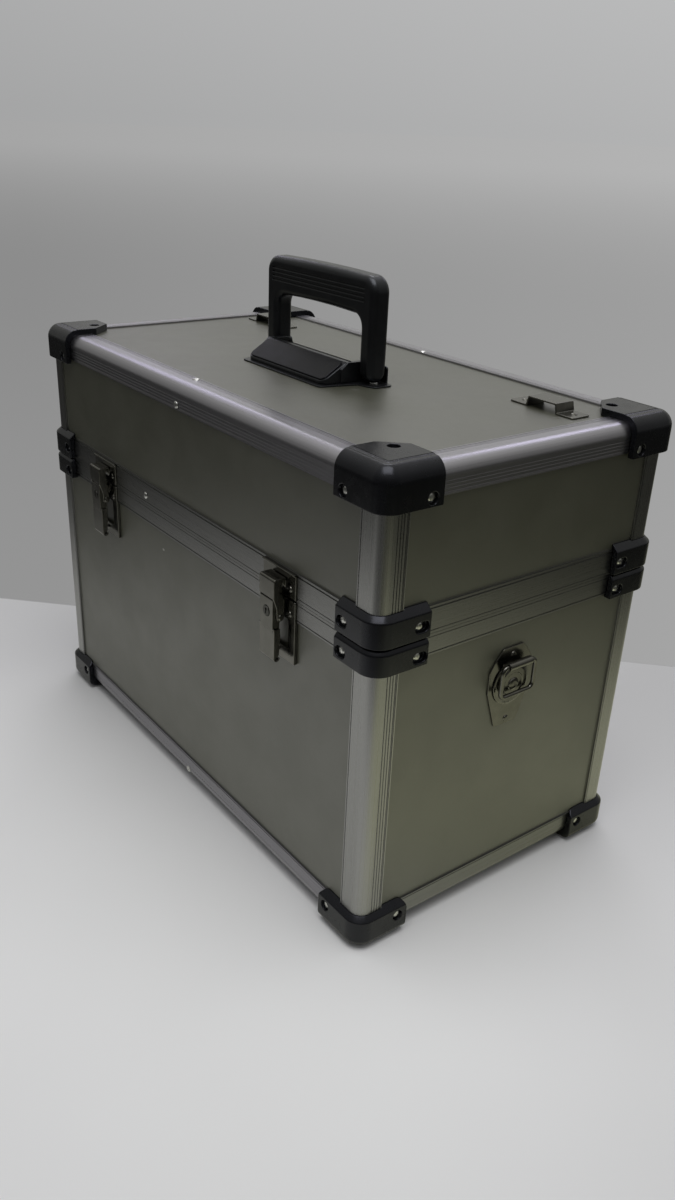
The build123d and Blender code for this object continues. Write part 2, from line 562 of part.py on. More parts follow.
# two short rivets carry the hook on the lever
hook_rivets = []
for s in (1, -1):
    pts = [(0, 4.9), (2.1, 4.9), (2.1, 5.95), (1.3, 5.95), (1.3, 8.25), (2.2, 8.25), (2.0, 8.9), (1.3, 9.25), (0, 9.3)]
    f = Face(Wire.make_polygon([Vector(LATCH_X + s * a, -YE - P2[0] - r, P2[1]) for r, a in pts]))
    hook_rivets.append(Solid.revolve(f, 360, Axis(Vector(LATCH_X, -YE - P2[0], P2[1]), Vector(1, 0, 0))))

# lock cylinder with a keyway, and a cam behind it
lock = cyl((LATCH_X, -YE - 10.7, LOCK_Z), (0, 1, 0), 3.6, 7.6)
lock = lock + cyl((LATCH_X, -YE - 10.9, LOCK_Z), (0, 1, 0), 3.2, 0.4)
lock = lock + L(-1.0, 1.0, 1.9, 3.2, LOCK_Z - 4.4, LOCK_Z + 1.0)
lock -= L(-0.45, 0.45, 8.4, 12, LOCK_Z - 2.0, LOCK_Z + 1.2)
lock -= cyl((LATCH_X, -YE - 12, LOCK_Z + 0.9), (0, 1, 0), 0.95, 3.6)
lock = solids(lock)[0]

for dx, z in KEEPER_RIVETS:
    p = (LATCH_X + dx, -YE - 1.2, z)
    lid_hardware += [rivet(p, (0, -1, 0), 2.2, 0.9, 1.4, 1.2 + FULL, 2.2, 0.8)]
    lid_cut += [bore(p, (0, -1, 0), 1.4, 1.2 + FULL + 0.01)]
for dx, z in BASE_LATCH_RIVETS:
    p = (LATCH_X + dx, -YE - 1.2, z)
    # the upper pair goes through the rim's inner leg too
    depth = 1.2 + WALL + PANEL_T + (INNER_T if z > BODY_RIM[0] else 0.0)
    body_hardware += [rivet(p, (0, -1, 0), 2.2, 0.9, 1.4, depth, 2.2, 0.8)]
    body_cut += [bore(p, (0, -1, 0), 1.4, depth + 0.01)]

# ---------------------------------------------------------------- rear hinges
KN = HINGE_L / 5               # five knuckles: three on the body leaf, two on the lid leaf


def leaf(sign):
    """One hinge leaf: sign +1 for the lid, -1 for the body."""
    z0, z1 = (Z_SEAM + 1.0, Z_SEAM + 17.2) if sign > 0 else (Z_SEAM - 13.4, Z_SEAM - 1.0)
    x0 = HINGE_X - HINGE_L / 2
    out = bx(x0, x0 + HINGE_L, YE, YE + 1.4, z0, z1)
    mine = (1, 3) if sign > 0 else (0, 2, 4)
    for i in range(5):
        a, b_ = x0 + i * KN, x0 + (i + 1) * KN
        if i in mine:
            a2 = a + (0.15 if i else 0)
            b2 = b_ - (0.15 if i < 4 else 0)
            zz0, zz1 = (Z_SEAM, Z_SEAM + 3.1) if sign > 0 else (Z_SEAM - 3.1, Z_SEAM)
            out = out + bx(a2, b2, YE + 0.2, HINGE_Y, zz0, zz1)
            out = out + cyl((a2, HINGE_Y, Z_SEAM), (1, 0, 0), HINGE_R, b2 - a2)
        else:
            # room for the other leaf's knuckle
            out = out - cyl((a - 0.01 if i else a - 1, HINGE_Y, Z_SEAM), (1, 0, 0), HINGE_R + 0.35, KN + (0.02 if 0 < i < 4 else 1))
    out -= cyl((x0 - 1, HINGE_Y, Z_SEAM), (1, 0, 0), HINGE_PIN_R + (RUN if sign > 0 else 0.0), HINGE_L + 2)
    # the knuckles stay clear of the frame behind them
    return solids(out)[0]


lid_leaf, body_leaf = leaf(1), leaf(-1)
hinge_pin = cyl((HINGE_X - HINGE_L / 2 - 0.6, HINGE_Y, Z_SEAM), (1, 0, 0), HINGE_PIN_R, HINGE_L + 1.2)
for dx in (-20.0, 0.0, 20.0):
    p = (HINGE_X + dx, YE + 1.4, Z_SEAM + 11.2)
    lid_hardware += [rivet(p, (0, 1, 0), 2.3, 0.9, 1.4, 1.4 + FULL, 2.2, 0.8)]
    lid_cut += [bore(p, (0, 1, 0), 1.4, 1.4 + FULL + 0.01)]
    p = (HINGE_X + dx, YE + 1.4, Z_SEAM - 8.6)
    depth = 1.4 + WALL + PANEL_T + INNER_T
    body_hardware += [rivet(p, (0, 1, 0), 2.3, 0.9, 1.4, depth, 2.2, 0.8)]
    body_cut += [bore(p, (0, 1, 0), 1.4, depth + 0.01)]

# ---------------------------------------------------------------- strap staples on the lid
ZP = ZT - WALL                 # top panel's upper face
SX0, SX1, SY0, SY1 = 135.0, 190.0, 55.0, 72.0
st = prism([(SX0, SY0, ZP), (SX0 + 15.6, SY0, ZP), (SX0 + 17.0, SY0, ZP + 5.8), (SX1 - 14.6 - 1.4, SY0, ZP + 5.8),
            (SX1 - 14.6, SY0, ZP), (SX1, SY0, ZP), (SX1, SY0, ZP + 1.2), (SX1 - 13.6, SY0, ZP + 1.2),
            (SX1 - 15.2, SY0, ZP + 7.0), (SX0 + 16.2, SY0, ZP + 7.0), (SX0 + 14.6, SY0, ZP + 1.2), (SX0, SY0, ZP + 1.2)],
           (0, SY1 - SY0, 0))
st = soft(st, [e for e in st.edges().filter_by(Axis.Z) if e.length < 1.3 and abs(e.center().Z - ZP - 0.6) < 0.1], 2.5)
st = soft(st, [e for e in st.edges().filter_by(Axis.Y) if e.center().Z > ZP + 5], 0.5)
STAPLE_RIVETS = [(141.6, 63.5), (183.4, 63.5)]
for x, y in STAPLE_RIVETS:
    for s in (1, -1):
        p = (s * x, y, ZP + 1.2)
        lid_hardware += [rivet(p, (0, 0, 1), 2.4, 0.9, 1.4, 1.2 + PANEL_T, 2.4, 0.8)]
        lid_cut += [bore(p, (0, 0, 1), 1.4, 1.2 + PANEL_T + 0.01)]

# ---------------------------------------------------------------- carrying handle


def arched(half, top, bottom, depth):
    """An upright block with an arched top."""
    a, b_ = Vector(-half, -depth, bottom), Vector(half, -depth, bottom)
    c, d = Vector(half, -depth, top - HANDLE_ARCH), Vector(-half, -depth, top - HANDLE_ARCH)
    edges = [Edge.make_line(a, b_), Edge.make_line(b_, c),
             Edge.make_three_point_arc(c, Vector(0, -depth, top), d), Edge.make_line(d, a)]
    return Solid.extrude(Face(Wire(edges)), Vector(0, 2 * depth, 0))


h = arched(HANDLE_A, HANDLE_TOP, HANDLE_Z, HANDLE_D)
h = fillet([e for e in h.edges().filter_by(Axis.Y) if e.center().Z > 380], 11.5)
hole = arched(HANDLE_B, HANDLE_UNDER, HANDLE_Z - 30, 20)
hole = fillet([e for e in hole.edges().filter_by(Axis.Y) if e.center().Z > 360], 8.5)
h = h + cyl((HANDLE_B, 0, HANDLE_Z), (1, 0, 0), HANDLE_D, HANDLE_A - HANDLE_B)
h = h + cyl((-HANDLE_A, 0, HANDLE_Z), (1, 0, 0), HANDLE_D, HANDLE_A - HANDLE_B)
h = h - hole
h = solids(h)[0]
outline = [e for e in h.edges() if abs(abs(e.center().Y) - HANDLE_D) < 0.01 and e.center().Z > HANDLE_Z + 1]
h = soft(h, outline, 4.8)
for k in range(4):
    zg = 375.9 + 2.85 * k
    for s in (1, -1):
        groove = bx(-56, 54, s * (HANDLE_D - 0.8), s * (HANDLE_D + 2), zg, zg + 1.3)
        h -= fillet(groove.edges().filter_by(Axis.Y), 0.6)
HANDLE_PIN_R = 2.5
h -= cyl((HANDLE_B - 1, 0, HANDLE_Z), (1, 0, 0), HANDLE_PIN_R + RUN, 11.0)
h -= cyl((-HANDLE_B + 1, 0, HANDLE_Z), (-1, 0, 0), HANDLE_PIN_R + RUN, 11.0)
handle = solids(h)[0]

# steel base plate of the handle: under the bracket and the posts, with a turned-up tab
# behind each post that stops the handle upright
PT = 1.2
half_outline = [(48.5, -38.3), (55.0, -10.5), (63.0, -8.8), (69.3, -5.5), (69.3, 9.55), (46.0, 9.55), (46.0, 3.5)]
bp = prism([(x, y, ZP) for x, y in half_outline] + [(-x, y, ZP) for x, y in reversed(half_outline)], (0, 0, PT))
bp = soft(bp, [e for e in bp.edges().filter_by(Axis.Z) if e.center().Y < -30 or abs(e.center().X) > 68], 3.5)
for s in (1, -1):
    tab = bx(min(s * 53, s * 63.0), max(s * 53, s * 63.0), HANDLE_D + 0.5, HANDLE_D + 1.8, ZP, ZP + 12.5)
    tab = soft(tab, [e for e in tab.edges().filter_by(Axis.Y) if e.center().Z > ZP + 5], 2.5)
    bp = bp + tab
base_plate = solids(bp)[0]

# bracket: a wedge with a sloped face, and two cheeks that hold the pins
ZB0 = ZP + PT
RIDGE_Y, RIDGE_Z, TOE_Y, TOE_Z = -14.6, 336.4, -34.5, 325.0
BW = 47.9                      # half width of the wedge
br = prism([(-BW, TOE_Y, ZB0), (-BW, TOE_Y, TOE_Z - 0.6), (-BW, RIDGE_Y - 0.5, RIDGE_Z - 0.6), (-BW, RIDGE_Y + 3.5, RIDGE_Z - 0.6),
            (-BW, RIDGE_Y + 6.5, ZB0)], (2 * BW, 0, 0))
# the toe's corners are rounded in plan
for s in (1, -1):
    cx, cy, r = s * (BW - 6.0), TOE_Y + 6.0, 6.0
    br -= bx(min(cx, s * 60), max(cx, s * 60), TOE_Y - 1, cy, ZB0 - 1, 340) - cyl((cx, cy, ZB0 - 2), (0, 0, 1), r, 60)
for s in (1, -1):
    lo, hi = (45.0, HANDLE_B - 0.4) if s > 0 else (-HANDLE_B + 0.4, -45.0)
    cheek = prism([(lo, RIDGE_Y - 6, ZB0), (lo, RIDGE_Y - 6, RIDGE_Z - 5), (lo, RIDGE_Y - 0.5, RIDGE_Z - 0.6), (lo, 0, RIDGE_Z - 0.8),
                   (lo, 3.6, HANDLE_Z + 3.4), (lo, 4.9, HANDLE_Z), (lo, 4.9, ZB0)], (hi - lo, 0, 0))
    br = br + cheek
    inner = min(s * 42.0, s * 45.5), max(s * 42.0, s * 45.5)
    br = br + bx(inner[0], inner[1], RIDGE_Y + 3, 3.0, ZB0, ZB0 + 1.6)
for s in (1, -1):
    br -= cyl((s * 44.0, 0, HANDLE_Z), (s, 0, 0), HANDLE_PIN_R, 10.0)
bracket = solids(br)[0]
handle_pins = []
for s in (1, -1):
    handle_pins.append(cyl((s * 45.0, 0, HANDLE_Z), (s, 0, 0), HANDLE_PIN_R, 14.6))

# label plate: bare, lying on the slope with a chamfered edge
sl = math.atan2(RIDGE_Z - TOE_Z, RIDGE_Y - 0.5 - TOE_Y)
lp_plane = Plane(origin=(0, (RIDGE_Y + TOE_Y) / 2 - 0.25, (RIDGE_Z + TOE_Z) / 2 - 0.6), x_dir=(1, 0, 0),
                 z_dir=(0, -math.sin(sl), math.cos(sl)))
slope_len = math.hypot(RIDGE_Z - TOE_Z, RIDGE_Y - 0.5 - TOE_Y)
lp = extrude(lp_plane * RectangleRounded(92.0, slope_len - 1.6, 4.4), 0.9)
lp = solids(lp)[0]
label_plate = lp
try:
    label_plate = chamfer(lp.faces().sort_by(Axis.Z)[-1].edges(), 0.4)
except Exception:
    print("chamfer left out on the label plate")
label_plate = solids(label_plate)[0]

# ---------------------------------------------------------------- strap lugs on the sides
XP = XE - WALL                 # side panel's outer face
yz = [(-9, 190.0), (9, 190.0), (14.5, 183.5), (19.3, 176.0), (19.3, 160.5), (10.0, 133.0), (-10.0, 133.0), (-19.3, 160.5), (-19.3, 176.0), (-14.5, 183.5)]
lug = prism([(XP, LUG_Y + a, b_) for a, b_ in yz], (1.2, 0, 0))
lug = soft(lug, lug.edges().filter_by(Axis.X), 2.2)
LUG_RIVETS = [(LUG_Y, 184.2), (LUG_Y, 137.0)]
lug -= cyl((XP - 1, LUG_Y, LUG_Z), (1, 0, 0), 2.5, 4)


def lug_rivet(s):
    out, cuts = [], []
    for y, z in LUG_RIVETS:
        p, d = (s * (XP + 1.2), y, z), (s, 0, 0)
        out.append(rivet(p, d, 2.3, 0.9, 1.4, 1.2 + PANEL_T, 2.3, 0.8))
        cuts.append(bore(p, d, 1.4, 1.2 + PANEL_T + 0.01))
    return out, cuts


for s in (1, -1):
    a, c = lug_rivet(s)
    body_hardware += a
    body_cut += c
for s in (1, -1):
    body_cut += [cyl((s * (XP + 1.2), LUG_Y, LUG_Z), (-s, 0, 0), 2.5, 1.2 + PANEL_T + 0.01)]

# swivel: a dished disc that turns on the centre rivet, with a rolled knuckle for the ring
x0 = XP + 1.3
prof = [(2.55, 0.0), (15.5, 0.0), (15.5, 1.0), (14.2, 1.2), (11.6, 3.2), (8.6, 3.2), (8.0, 2.6), (2.55, 2.6)]
f = Face(Wire.make_polygon([Vector(x0 + b_, LUG_Y, LUG_Z + a) for a, b_ in prof]))
swivel = Solid.revolve(f, 360, Axis(Vector(x0, LUG_Y, LUG_Z), Vector(1, 0, 0)))
KNUCKLE_Y = (-10.0, 10.0)
tongue = prism([(x0, LUG_Y + KNUCKLE_Y[0], LUG_Z + 9.5), (x0 + 1.2, LUG_Y + KNUCKLE_Y[0], LUG_Z + 9.5), (RING_X - 1.2, LUG_Y + KNUCKLE_Y[0], RING_Z - 0.5),
                (RING_X - 2.4, LUG_Y + KNUCKLE_Y[0], RING_Z + 1.6), (x0, LUG_Y + KNUCKLE_Y[0], LUG_Z + 12.5)],
               (0, KNUCKLE_Y[1] - KNUCKLE_Y[0], 0))
swivel = swivel + tongue
swivel = swivel + cyl((RING_X, LUG_Y + KNUCKLE_Y[0], RING_Z), (0, 1, 0), 2.7, KNUCKLE_Y[1] - KNUCKLE_Y[0])
swivel -= cyl((RING_X, LUG_Y - 20, RING_Z), (0, 1, 0), 1.5 + RUN, 40)
swivel -= cyl((x0 - 1, LUG_Y, LUG_Z), (1, 0, 0), 2.5 + RUN, 8)
swivel = solids(swivel)[0]
swivel_rivet = rivet((x0 + 2.65, LUG_Y, LUG_Z), (1, 0, 0), 4.6, 1.4, 2.5, 2.65 + 0.1 + 1.2 + PANEL_T, 3.6, 0.9)

# ring: a closed rectangular wire loop hanging in the knuckle
RW, RH, RR = 14.5, 21.4, 4.0
bar_top = cyl((RING_X, LUG_Y - RW + RR, RING_Z), (0, 1, 0), 1.5, 2 * (RW - RR))
bar_low = cyl((RING_X, LUG_Y - RW + RR, RING_Z - RH), (0, 1, 0), 1.5, 2 * (RW - RR))
leg_a = cyl((RING_X, LUG_Y - RW, RING_Z - RH + RR), (0, 0, 1), 1.5, RH - 2 * RR)
leg_b = cyl((RING_X, LUG_Y + RW, RING_Z - RH + RR), (0, 0, 1), 1.5, RH - 2 * RR)


def elbow(y, z, sy, sz):
    """A quarter turn of the wire with its centre of bend at (y, z)."""
    c = Plane(origin=(RING_X, y + sy * RR, z), z_dir=(0, 0, 1)) * Circle(1.5)
    ang = 90.0
    axis_dir = Vector(1, 0, 0) * (sy * sz)
    face = solids_face(c)
    return Solid.revolve(face, ang, Axis(Vector(RING_X, y, z), axis_dir))


def solids_face(sk):
    return sk.faces()[0]


ring = bar_top + bar_low + leg_a + leg_b
for sy in (1, -1):
    for sz in (1, -1):
        y = LUG_Y + sy * (RW - RR)
        z = RING_Z - RR if sz > 0 else RING_Z - RH + RR
        ring = ring + elbow(y, z, sy, sz)
ring = solids(ring)[0]

# ---------------------------------------------------------------- padding inside
LIN = 8.2                      # back of the padding, in from the frame's outer face
PAD = 5.0
body_wall = bx(-XE + LIN, XE - LIN, -YE + LIN, YE - LIN, 19.9, 217.4)
body_wall -= bx(-XE + LIN + PAD, XE - LIN - PAD, -YE + LIN + PAD, YE - LIN - PAD, 0, 300)
body_wall = solids(body_wall)[0]
base_pad = bx(-XE + LIN, XE - LIN, -YE + LIN, YE - LIN, 13.6, 19.6)
lid_wall = bx(-XE + LIN, XE - LIN, -YE + LIN, YE - LIN, 225.0, 306.9)
lid_wall -= bx(-XE + LIN + PAD, XE - LIN - PAD, -YE + LIN + PAD, YE - LIN - PAD, 200, 330)
lid_wall = solids(lid_wall)[0]
lid_pad = bx(-XE + LIN, XE - LIN, -YE + LIN, YE - LIN, 307.1, 314.6)

# ---------------------------------------------------------------- assembly and export
NODES = {}


def node(name, items, cutters=None):
    items = solids(items)
    if cutters:
        items = drill(items, cutters)
    NODES[name] = items


lid_all = lid_cut
node("lid_top_panel", lid_top_panel, lid_all)
node("lid_front_panel", lid_front_panel, [c for c in lid_all])
node("lid_rear_panel", lid_rear_panel, lid_all)
node("lid_side_panels", [lid_side_panel] + mirror_x(lid_side_panel), lid_all)
node("lid_top_extrusions_long", [top_bar_x] + mirror_y(top_bar_x), lid_all)
node("lid_top_extrusions_short", [top_bar_y] + mirror_x(top_bar_y), lid_all)


def corner_posts(front, rear):
    two = [front] + mirror_y(rear)
    return two + mirror_x(two)


node("lid_corner_posts", corner_posts(*lid_posts))
node("lid_rim_long", [lid_rim_x] + mirror_y(lid_rim_x), lid_all)
node("lid_rim_short", [lid_rim_y] + mirror_x(lid_rim_y), lid_all)
node("lid_corner_guards", four(top_guard), lid_all)
node("lid_belt_guards", four(lid_belt_guard), lid_all)
node("lid_guard_rivets", lid_guard_rivets)
node("lid_frame_rivets", lid_frame_rivets)


def both(shape):
    return solids(shape) + mirror_x(shape)


# latch and hinge fasteners were placed on the right half only
lid_hw = []
lid_hw_cut = []
for s in lid_hardware:
    c = s.center()
    on_top = c.Z > ZT - 10
    lid_hw += solids(s) if on_top else both(s)
body_hw = []
for s in body_hardware:
    c = s.center()
    on_side = abs(c.X) > 200
    body_hw += solids(s) if on_side else both(s)
extra_lid_cut = [c for c in lid_cut if 100 < c.center().X < 160 and c.center().Z < 300]
lid_cut_mirror = mirror_x(extra_lid_cut)
extra_body_cut = [c for c in body_cut if 100 < c.center().X < 160]
body_cut_mirror = mirror_x(extra_body_cut)
for name in ("lid_front_panel", "lid_rear_panel", "lid_rim_long"):
    NODES[name] = drill(NODES[name], lid_cut_mirror)
node("lid_hardware_rivets", lid_hw)
node("latch_keepers", drill(keeper, lid_cut) + mirror_x(drill(keeper, lid_cut)))
node("lid_hinge_leaves", drill(lid_leaf, lid_cut) + mirror_x(drill(lid_leaf, lid_cut)))
node("strap_staples", drill(st, lid_cut) + mirror_x(drill(st, lid_cut)))
node("handle_base_plate", base_plate)
node("handle_bracket", bracket)
node("handle_label_plate", label_plate)
node("handle_pins", handle_pins)
node("handle", handle)
node("lid_wall_lining", lid_wall)
node("lid_pad", lid_pad)

node("bottom_panel", bottom_panel, body_cut)
node("front_panel", front_panel, body_cut + body_cut_mirror)
node("rear_panel", rear_panel, body_cut + body_cut_mirror)
node("side_panels", [side_panel] + mirror_x(side_panel), body_cut)
node("bottom_extrusions_long", [base_bar_x] + mirror_y(base_bar_x), body_cut)
node("bottom_extrusions_short", [base_bar_y] + mirror_x(base_bar_y), body_cut)
node("body_corner_posts", corner_posts(*body_posts))
node("body_rim_long", [body_rim_x] + mirror_y(body_rim_x), body_cut + body_cut_mirror)
node("body_rim_short", [body_rim_y] + mirror_x(body_rim_y), body_cut)
node("body_belt_guards", four(body_belt_guard), body_cut)
node("base_corner_guards", four(base_guard), body_cut)
node("feet", four(foot), body_cut)
node("foot_screws", four(foot_screw))
node("body_guard_rivets", body_guard_rivets)
node("body_frame_rivets", body_frame_rivets)
node("body_hardware_rivets", body_hw)
node("latch_bases", drill(base, body_cut) + mirror_x(drill(base, body_cut)))
node("latch_pivot_pins", both(pivot_pin))
node("lug_plates", drill(lug, body_cut) + mirror_x(drill(lug, body_cut)))
node("swivel_rivets", both(swivel_rivet))
node("body_hinge_leaves", drill(body_leaf, body_cut) + mirror_x(drill(body_leaf, body_cut)))
node("hinge_pins", both(hinge_pin))
node("body_wall_lining", body_wall)
node("base_pad", base_pad)

MOVE_LEFT = Pos(-2 * LATCH_X, 0, 0)
node("right_lever", lever)
node("left_lever", MOVE_LEFT * lever)
node("right_hook", hook)
node("left_hook", MOVE_LEFT * hook)
node("right_hook_rivets", hook_rivets)
node("left_hook_rivets", [MOVE_LEFT * r for r in hook_rivets])
node("right_lock", lock)
node("left_lock", MOVE_LEFT * lock)
node("right_swivel", swivel)
node("left_swivel", mirror_x(swivel))
node("right_ring", ring)
node("left_ring", mirror_x(ring))

for name, items in NODES.items():
    shape = items[0] if len(items) == 1 else Compound(children=[Solid(s.wrapped) if not isinstance(s, Solid) else s for s in items])
    shape.label = name
    export_step(shape, f"parts/{name}.step")
print(len(NODES), "nodes", sum(len(v) for v in NODES.values()), "solids")
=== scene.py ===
import json
import math

import bmesh
import bpy
from mathutils import Matrix, Vector, noise


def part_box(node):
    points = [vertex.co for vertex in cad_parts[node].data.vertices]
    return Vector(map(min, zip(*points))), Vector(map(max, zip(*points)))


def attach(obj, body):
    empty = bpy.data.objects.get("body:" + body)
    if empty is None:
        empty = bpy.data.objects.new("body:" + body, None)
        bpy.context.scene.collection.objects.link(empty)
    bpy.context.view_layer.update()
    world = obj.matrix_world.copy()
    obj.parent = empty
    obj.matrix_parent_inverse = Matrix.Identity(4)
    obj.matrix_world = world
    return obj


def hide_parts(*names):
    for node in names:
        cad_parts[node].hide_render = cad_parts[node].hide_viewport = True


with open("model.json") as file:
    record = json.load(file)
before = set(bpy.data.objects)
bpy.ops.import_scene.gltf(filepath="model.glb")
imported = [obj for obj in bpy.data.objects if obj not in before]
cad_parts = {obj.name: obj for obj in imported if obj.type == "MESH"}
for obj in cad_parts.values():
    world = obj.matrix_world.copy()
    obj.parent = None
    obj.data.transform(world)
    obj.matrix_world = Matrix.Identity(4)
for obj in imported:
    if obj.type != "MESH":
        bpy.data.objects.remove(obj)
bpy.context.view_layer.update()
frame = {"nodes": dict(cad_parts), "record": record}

NODES = frame["nodes"]
BODY_OF = {n: b["name"] for b in frame["record"]["behaviour"]["bodies"] for n in b["nodes"]} if isinstance(
    frame["record"]["behaviour"]["bodies"], list) else {
    n: b for b, names in frame["record"]["behaviour"]["bodies"].items() for n in names}

# ---------------------------------------------------------------- camera
RIGHT = Vector((0.598092, 0.800436, 0.039838))
DOWN = Vector((0.366470, -0.228945, -0.901822))
AHEAD = Vector((-0.712731, 0.553973, -0.430266))
EYE = Vector((0.59076, -0.43604, 0.48396))
cam_data = bpy.data.cameras.new("camera")
camera = bpy.data.objects.new("camera", cam_data)
bpy.context.scene.collection.objects.link(camera)
camera.matrix_world = Matrix((
    (RIGHT.x, -DOWN.x, -AHEAD.x, EYE.x),
    (RIGHT.y, -DOWN.y, -AHEAD.y, EYE.y),
    (RIGHT.z, -DOWN.z, -AHEAD.z, EYE.z),
    (0.0, 0.0, 0.0, 1.0),
))
cam_data.sensor_width = 36.0
cam_data.lens = 30.151
cam_data.clip_start = 0.01
cam_data.clip_end = 200.0
bpy.context.scene.camera = camera


# ---------------------------------------------------------------- node helpers
class Tree:
    """A short way to write a shader's node tree."""

    def __init__(self, owner):
        owner.use_nodes = True
        self.t = owner.node_tree
        self.t.nodes.clear()
        self.x = 0

    def add(self, kind, **sockets):
        n = self.t.nodes.new(kind)
        n.location = (self.x, 0)
        self.x += 180
        for key, value in sockets.items():
            self.put(n.inputs[key.replace("_", " ")], value)
        return n

    def put(self, socket, value):
        if isinstance(value, bpy.types.NodeSocket):
            self.t.links.new(value, socket)
        elif value is not None:
            socket.default_value = value

    def math(self, op, a, b=None, c=None, clamp=False):
        n = self.add("ShaderNodeMath")
        n.operation = op
        n.use_clamp = clamp
        for i, v in enumerate((a, b, c)):
            if v is not None:
                self.put(n.inputs[i], v)
        return n.outputs[0]

    def vmath(self, op, a, b=None):
        n = self.add("ShaderNodeVectorMath")
        n.operation = op
        self.put(n.inputs[0], a)
        if b is not None:
            self.put(n.inputs[1], b)
        return n.outputs["Value"] if op in ("DOT_PRODUCT", "LENGTH", "DISTANCE") else n.outputs["Vector"]

    def step(self, value, low, high, out_low=0.0, out_high=1.0, kind="SMOOTHSTEP"):
        n = self.add("ShaderNodeMapRange")
        n.interpolation_type = kind
        self.put(n.inputs["Value"], value)
        self.put(n.inputs["From Min"], low)
        self.put(n.inputs["From Max"], high)
        self.put(n.inputs["To Min"], out_low)
        self.put(n.inputs["To Max"], out_high)
        return n.outputs["Result"]

    def mix(self, fac, a, b, kind="MIX"):
        n = self.add("ShaderNodeMix")
        n.data_type = "RGBA"
        n.blend_type = kind
        self.put(n.inputs[0], fac)
        self.put(n.inputs[6], a)
        self.put(n.inputs[7], b)
        return n.outputs[2]

    def lerp(self, fac, a, b):
        """A number between a and b."""
        return self.math("ADD", self.math("MULTIPLY", a, self.math("SUBTRACT", 1.0, fac)), self.math("MULTIPLY", b, fac))

    def place(self, scale=(1, 1, 1), rotation=(0, 0, 0)):
        """The object's own metres, scaled per axis."""
        c = self.add("ShaderNodeTexCoord")
        m = self.add("ShaderNodeMapping")
        self.put(m.inputs["Vector"], c.outputs["Object"])
        m.inputs["Scale"].default_value = scale
        m.inputs["Rotation"].default_value = rotation
        return m.outputs["Vector"]

    def noise(self, vector, scale, detail=4.0, rough=0.55, distortion=0.0):
        n = self.add("ShaderNodeTexNoise")
        self.put(n.inputs["Vector"], vector)
        n.inputs["Scale"].default_value = scale
        n.inputs["Detail"].default_value = detail
        n.inputs["Roughness"].default_value = rough
        n.inputs["Distortion"].default_value = distortion
        return n.outputs["Fac"]

    def bump(self, height, strength, distance, normal=None):
        n = self.add("ShaderNodeBump")
        n.inputs["Strength"].default_value = strength
        n.inputs["Distance"].default_value = distance
        self.put(n.inputs["Height"], height)
        if normal is not None:
            self.put(n.inputs["Normal"], normal)
        return n.outputs["Normal"]

    def xyz(self, vector):
        n = self.add("ShaderNodeSeparateXYZ")
        self.put(n.inputs[0], vector)
        return n.outputs

    def grey(self, value):
        n = self.add("ShaderNodeCombineColor")
        for i in range(3):
            self.put(n.inputs[i], value)
        return n.outputs[0]

    def painted_crevice_shade(self, tone, distance, low, high, shade_colour):
        """The tone darkened towards a set colour where neighbouring surfaces are close, read from ambient occlusion:
        painted shade in crevices and recesses.
        """
        n = self.add("ShaderNodeAmbientOcclusion")
        n.samples = 6
        n.inputs["Distance"].default_value = distance
        return self.mix(self.step(n.outputs["AO"], low, high), rgb(*shade_colour), tone)

    def surface(self, shader):
        out = self.add("ShaderNodeOutputMaterial")
        self.t.links.new(shader, out.inputs["Surface"])


def rgb(r, g, b):
    return (r, g, b, 1.0)


def material(name):
    m = bpy.data.materials.new(name)
    return m, Tree(m)


def shader(g, **sockets):
    n = g.add("ShaderNodeBsdfPrincipled")
    for key, value in sockets.items():
        g.put(n.inputs[key.replace("_", " ")], value)
    return n


# ---------------------------------------------------------------- materials
def laminate():
    """Olive-grey satin laminate: a very fine leatherette grain under a satin film, faint mottling, light handling marks."""
    m, g = material("laminate_panel")
    p = g.place()
    cloud = g.noise(p, 9.0, 3.0, 0.5)
    fleck = g.noise(p, 900.0, 2.0, 0.6)
    tone = g.mix(g.step(cloud, 0.35, 0.65), rgb(0.0410, 0.0418, 0.0255), rgb(0.0460, 0.0468, 0.0290))
    tone = g.mix(g.step(fleck, 0.30, 0.72, 0.0, 0.30, "LINEAR"), tone, rgb(0.062, 0.0625, 0.045))
    # one small pale scuff low on the front, above the middle
    spot = g.vmath("DISTANCE", g.place((1.0, 0.4, 1.8)), (-0.0339, -0.0466, 0.1906 * 1.8))
    ragged = g.math("ADD", spot, g.math("MULTIPLY", g.noise(p, 700.0, 3.0), 0.0022))
    scuff = g.step(ragged, 0.0016, 0.0029, 1.0, 0.0)
    tone = g.mix(scuff, tone, rgb(0.42, 0.42, 0.39))
    rough = g.step(g.noise(p, 26.0, 5.0, 0.6), 0.3, 0.7, 0.375, 0.455)
    grain = g.bump(g.noise(p, 1500.0, 3.0, 0.6), 0.16, 0.00030)
    wave = g.bump(g.noise(p, 14.0, 2.0, 0.5), 0.10, 0.0016, grain)
    s = shader(g, Base_Color=tone, Roughness=rough, Normal=wave, IOR=2.25, Specular_IOR_Level=0.5)
    g.surface(s.outputs[0])
    return m


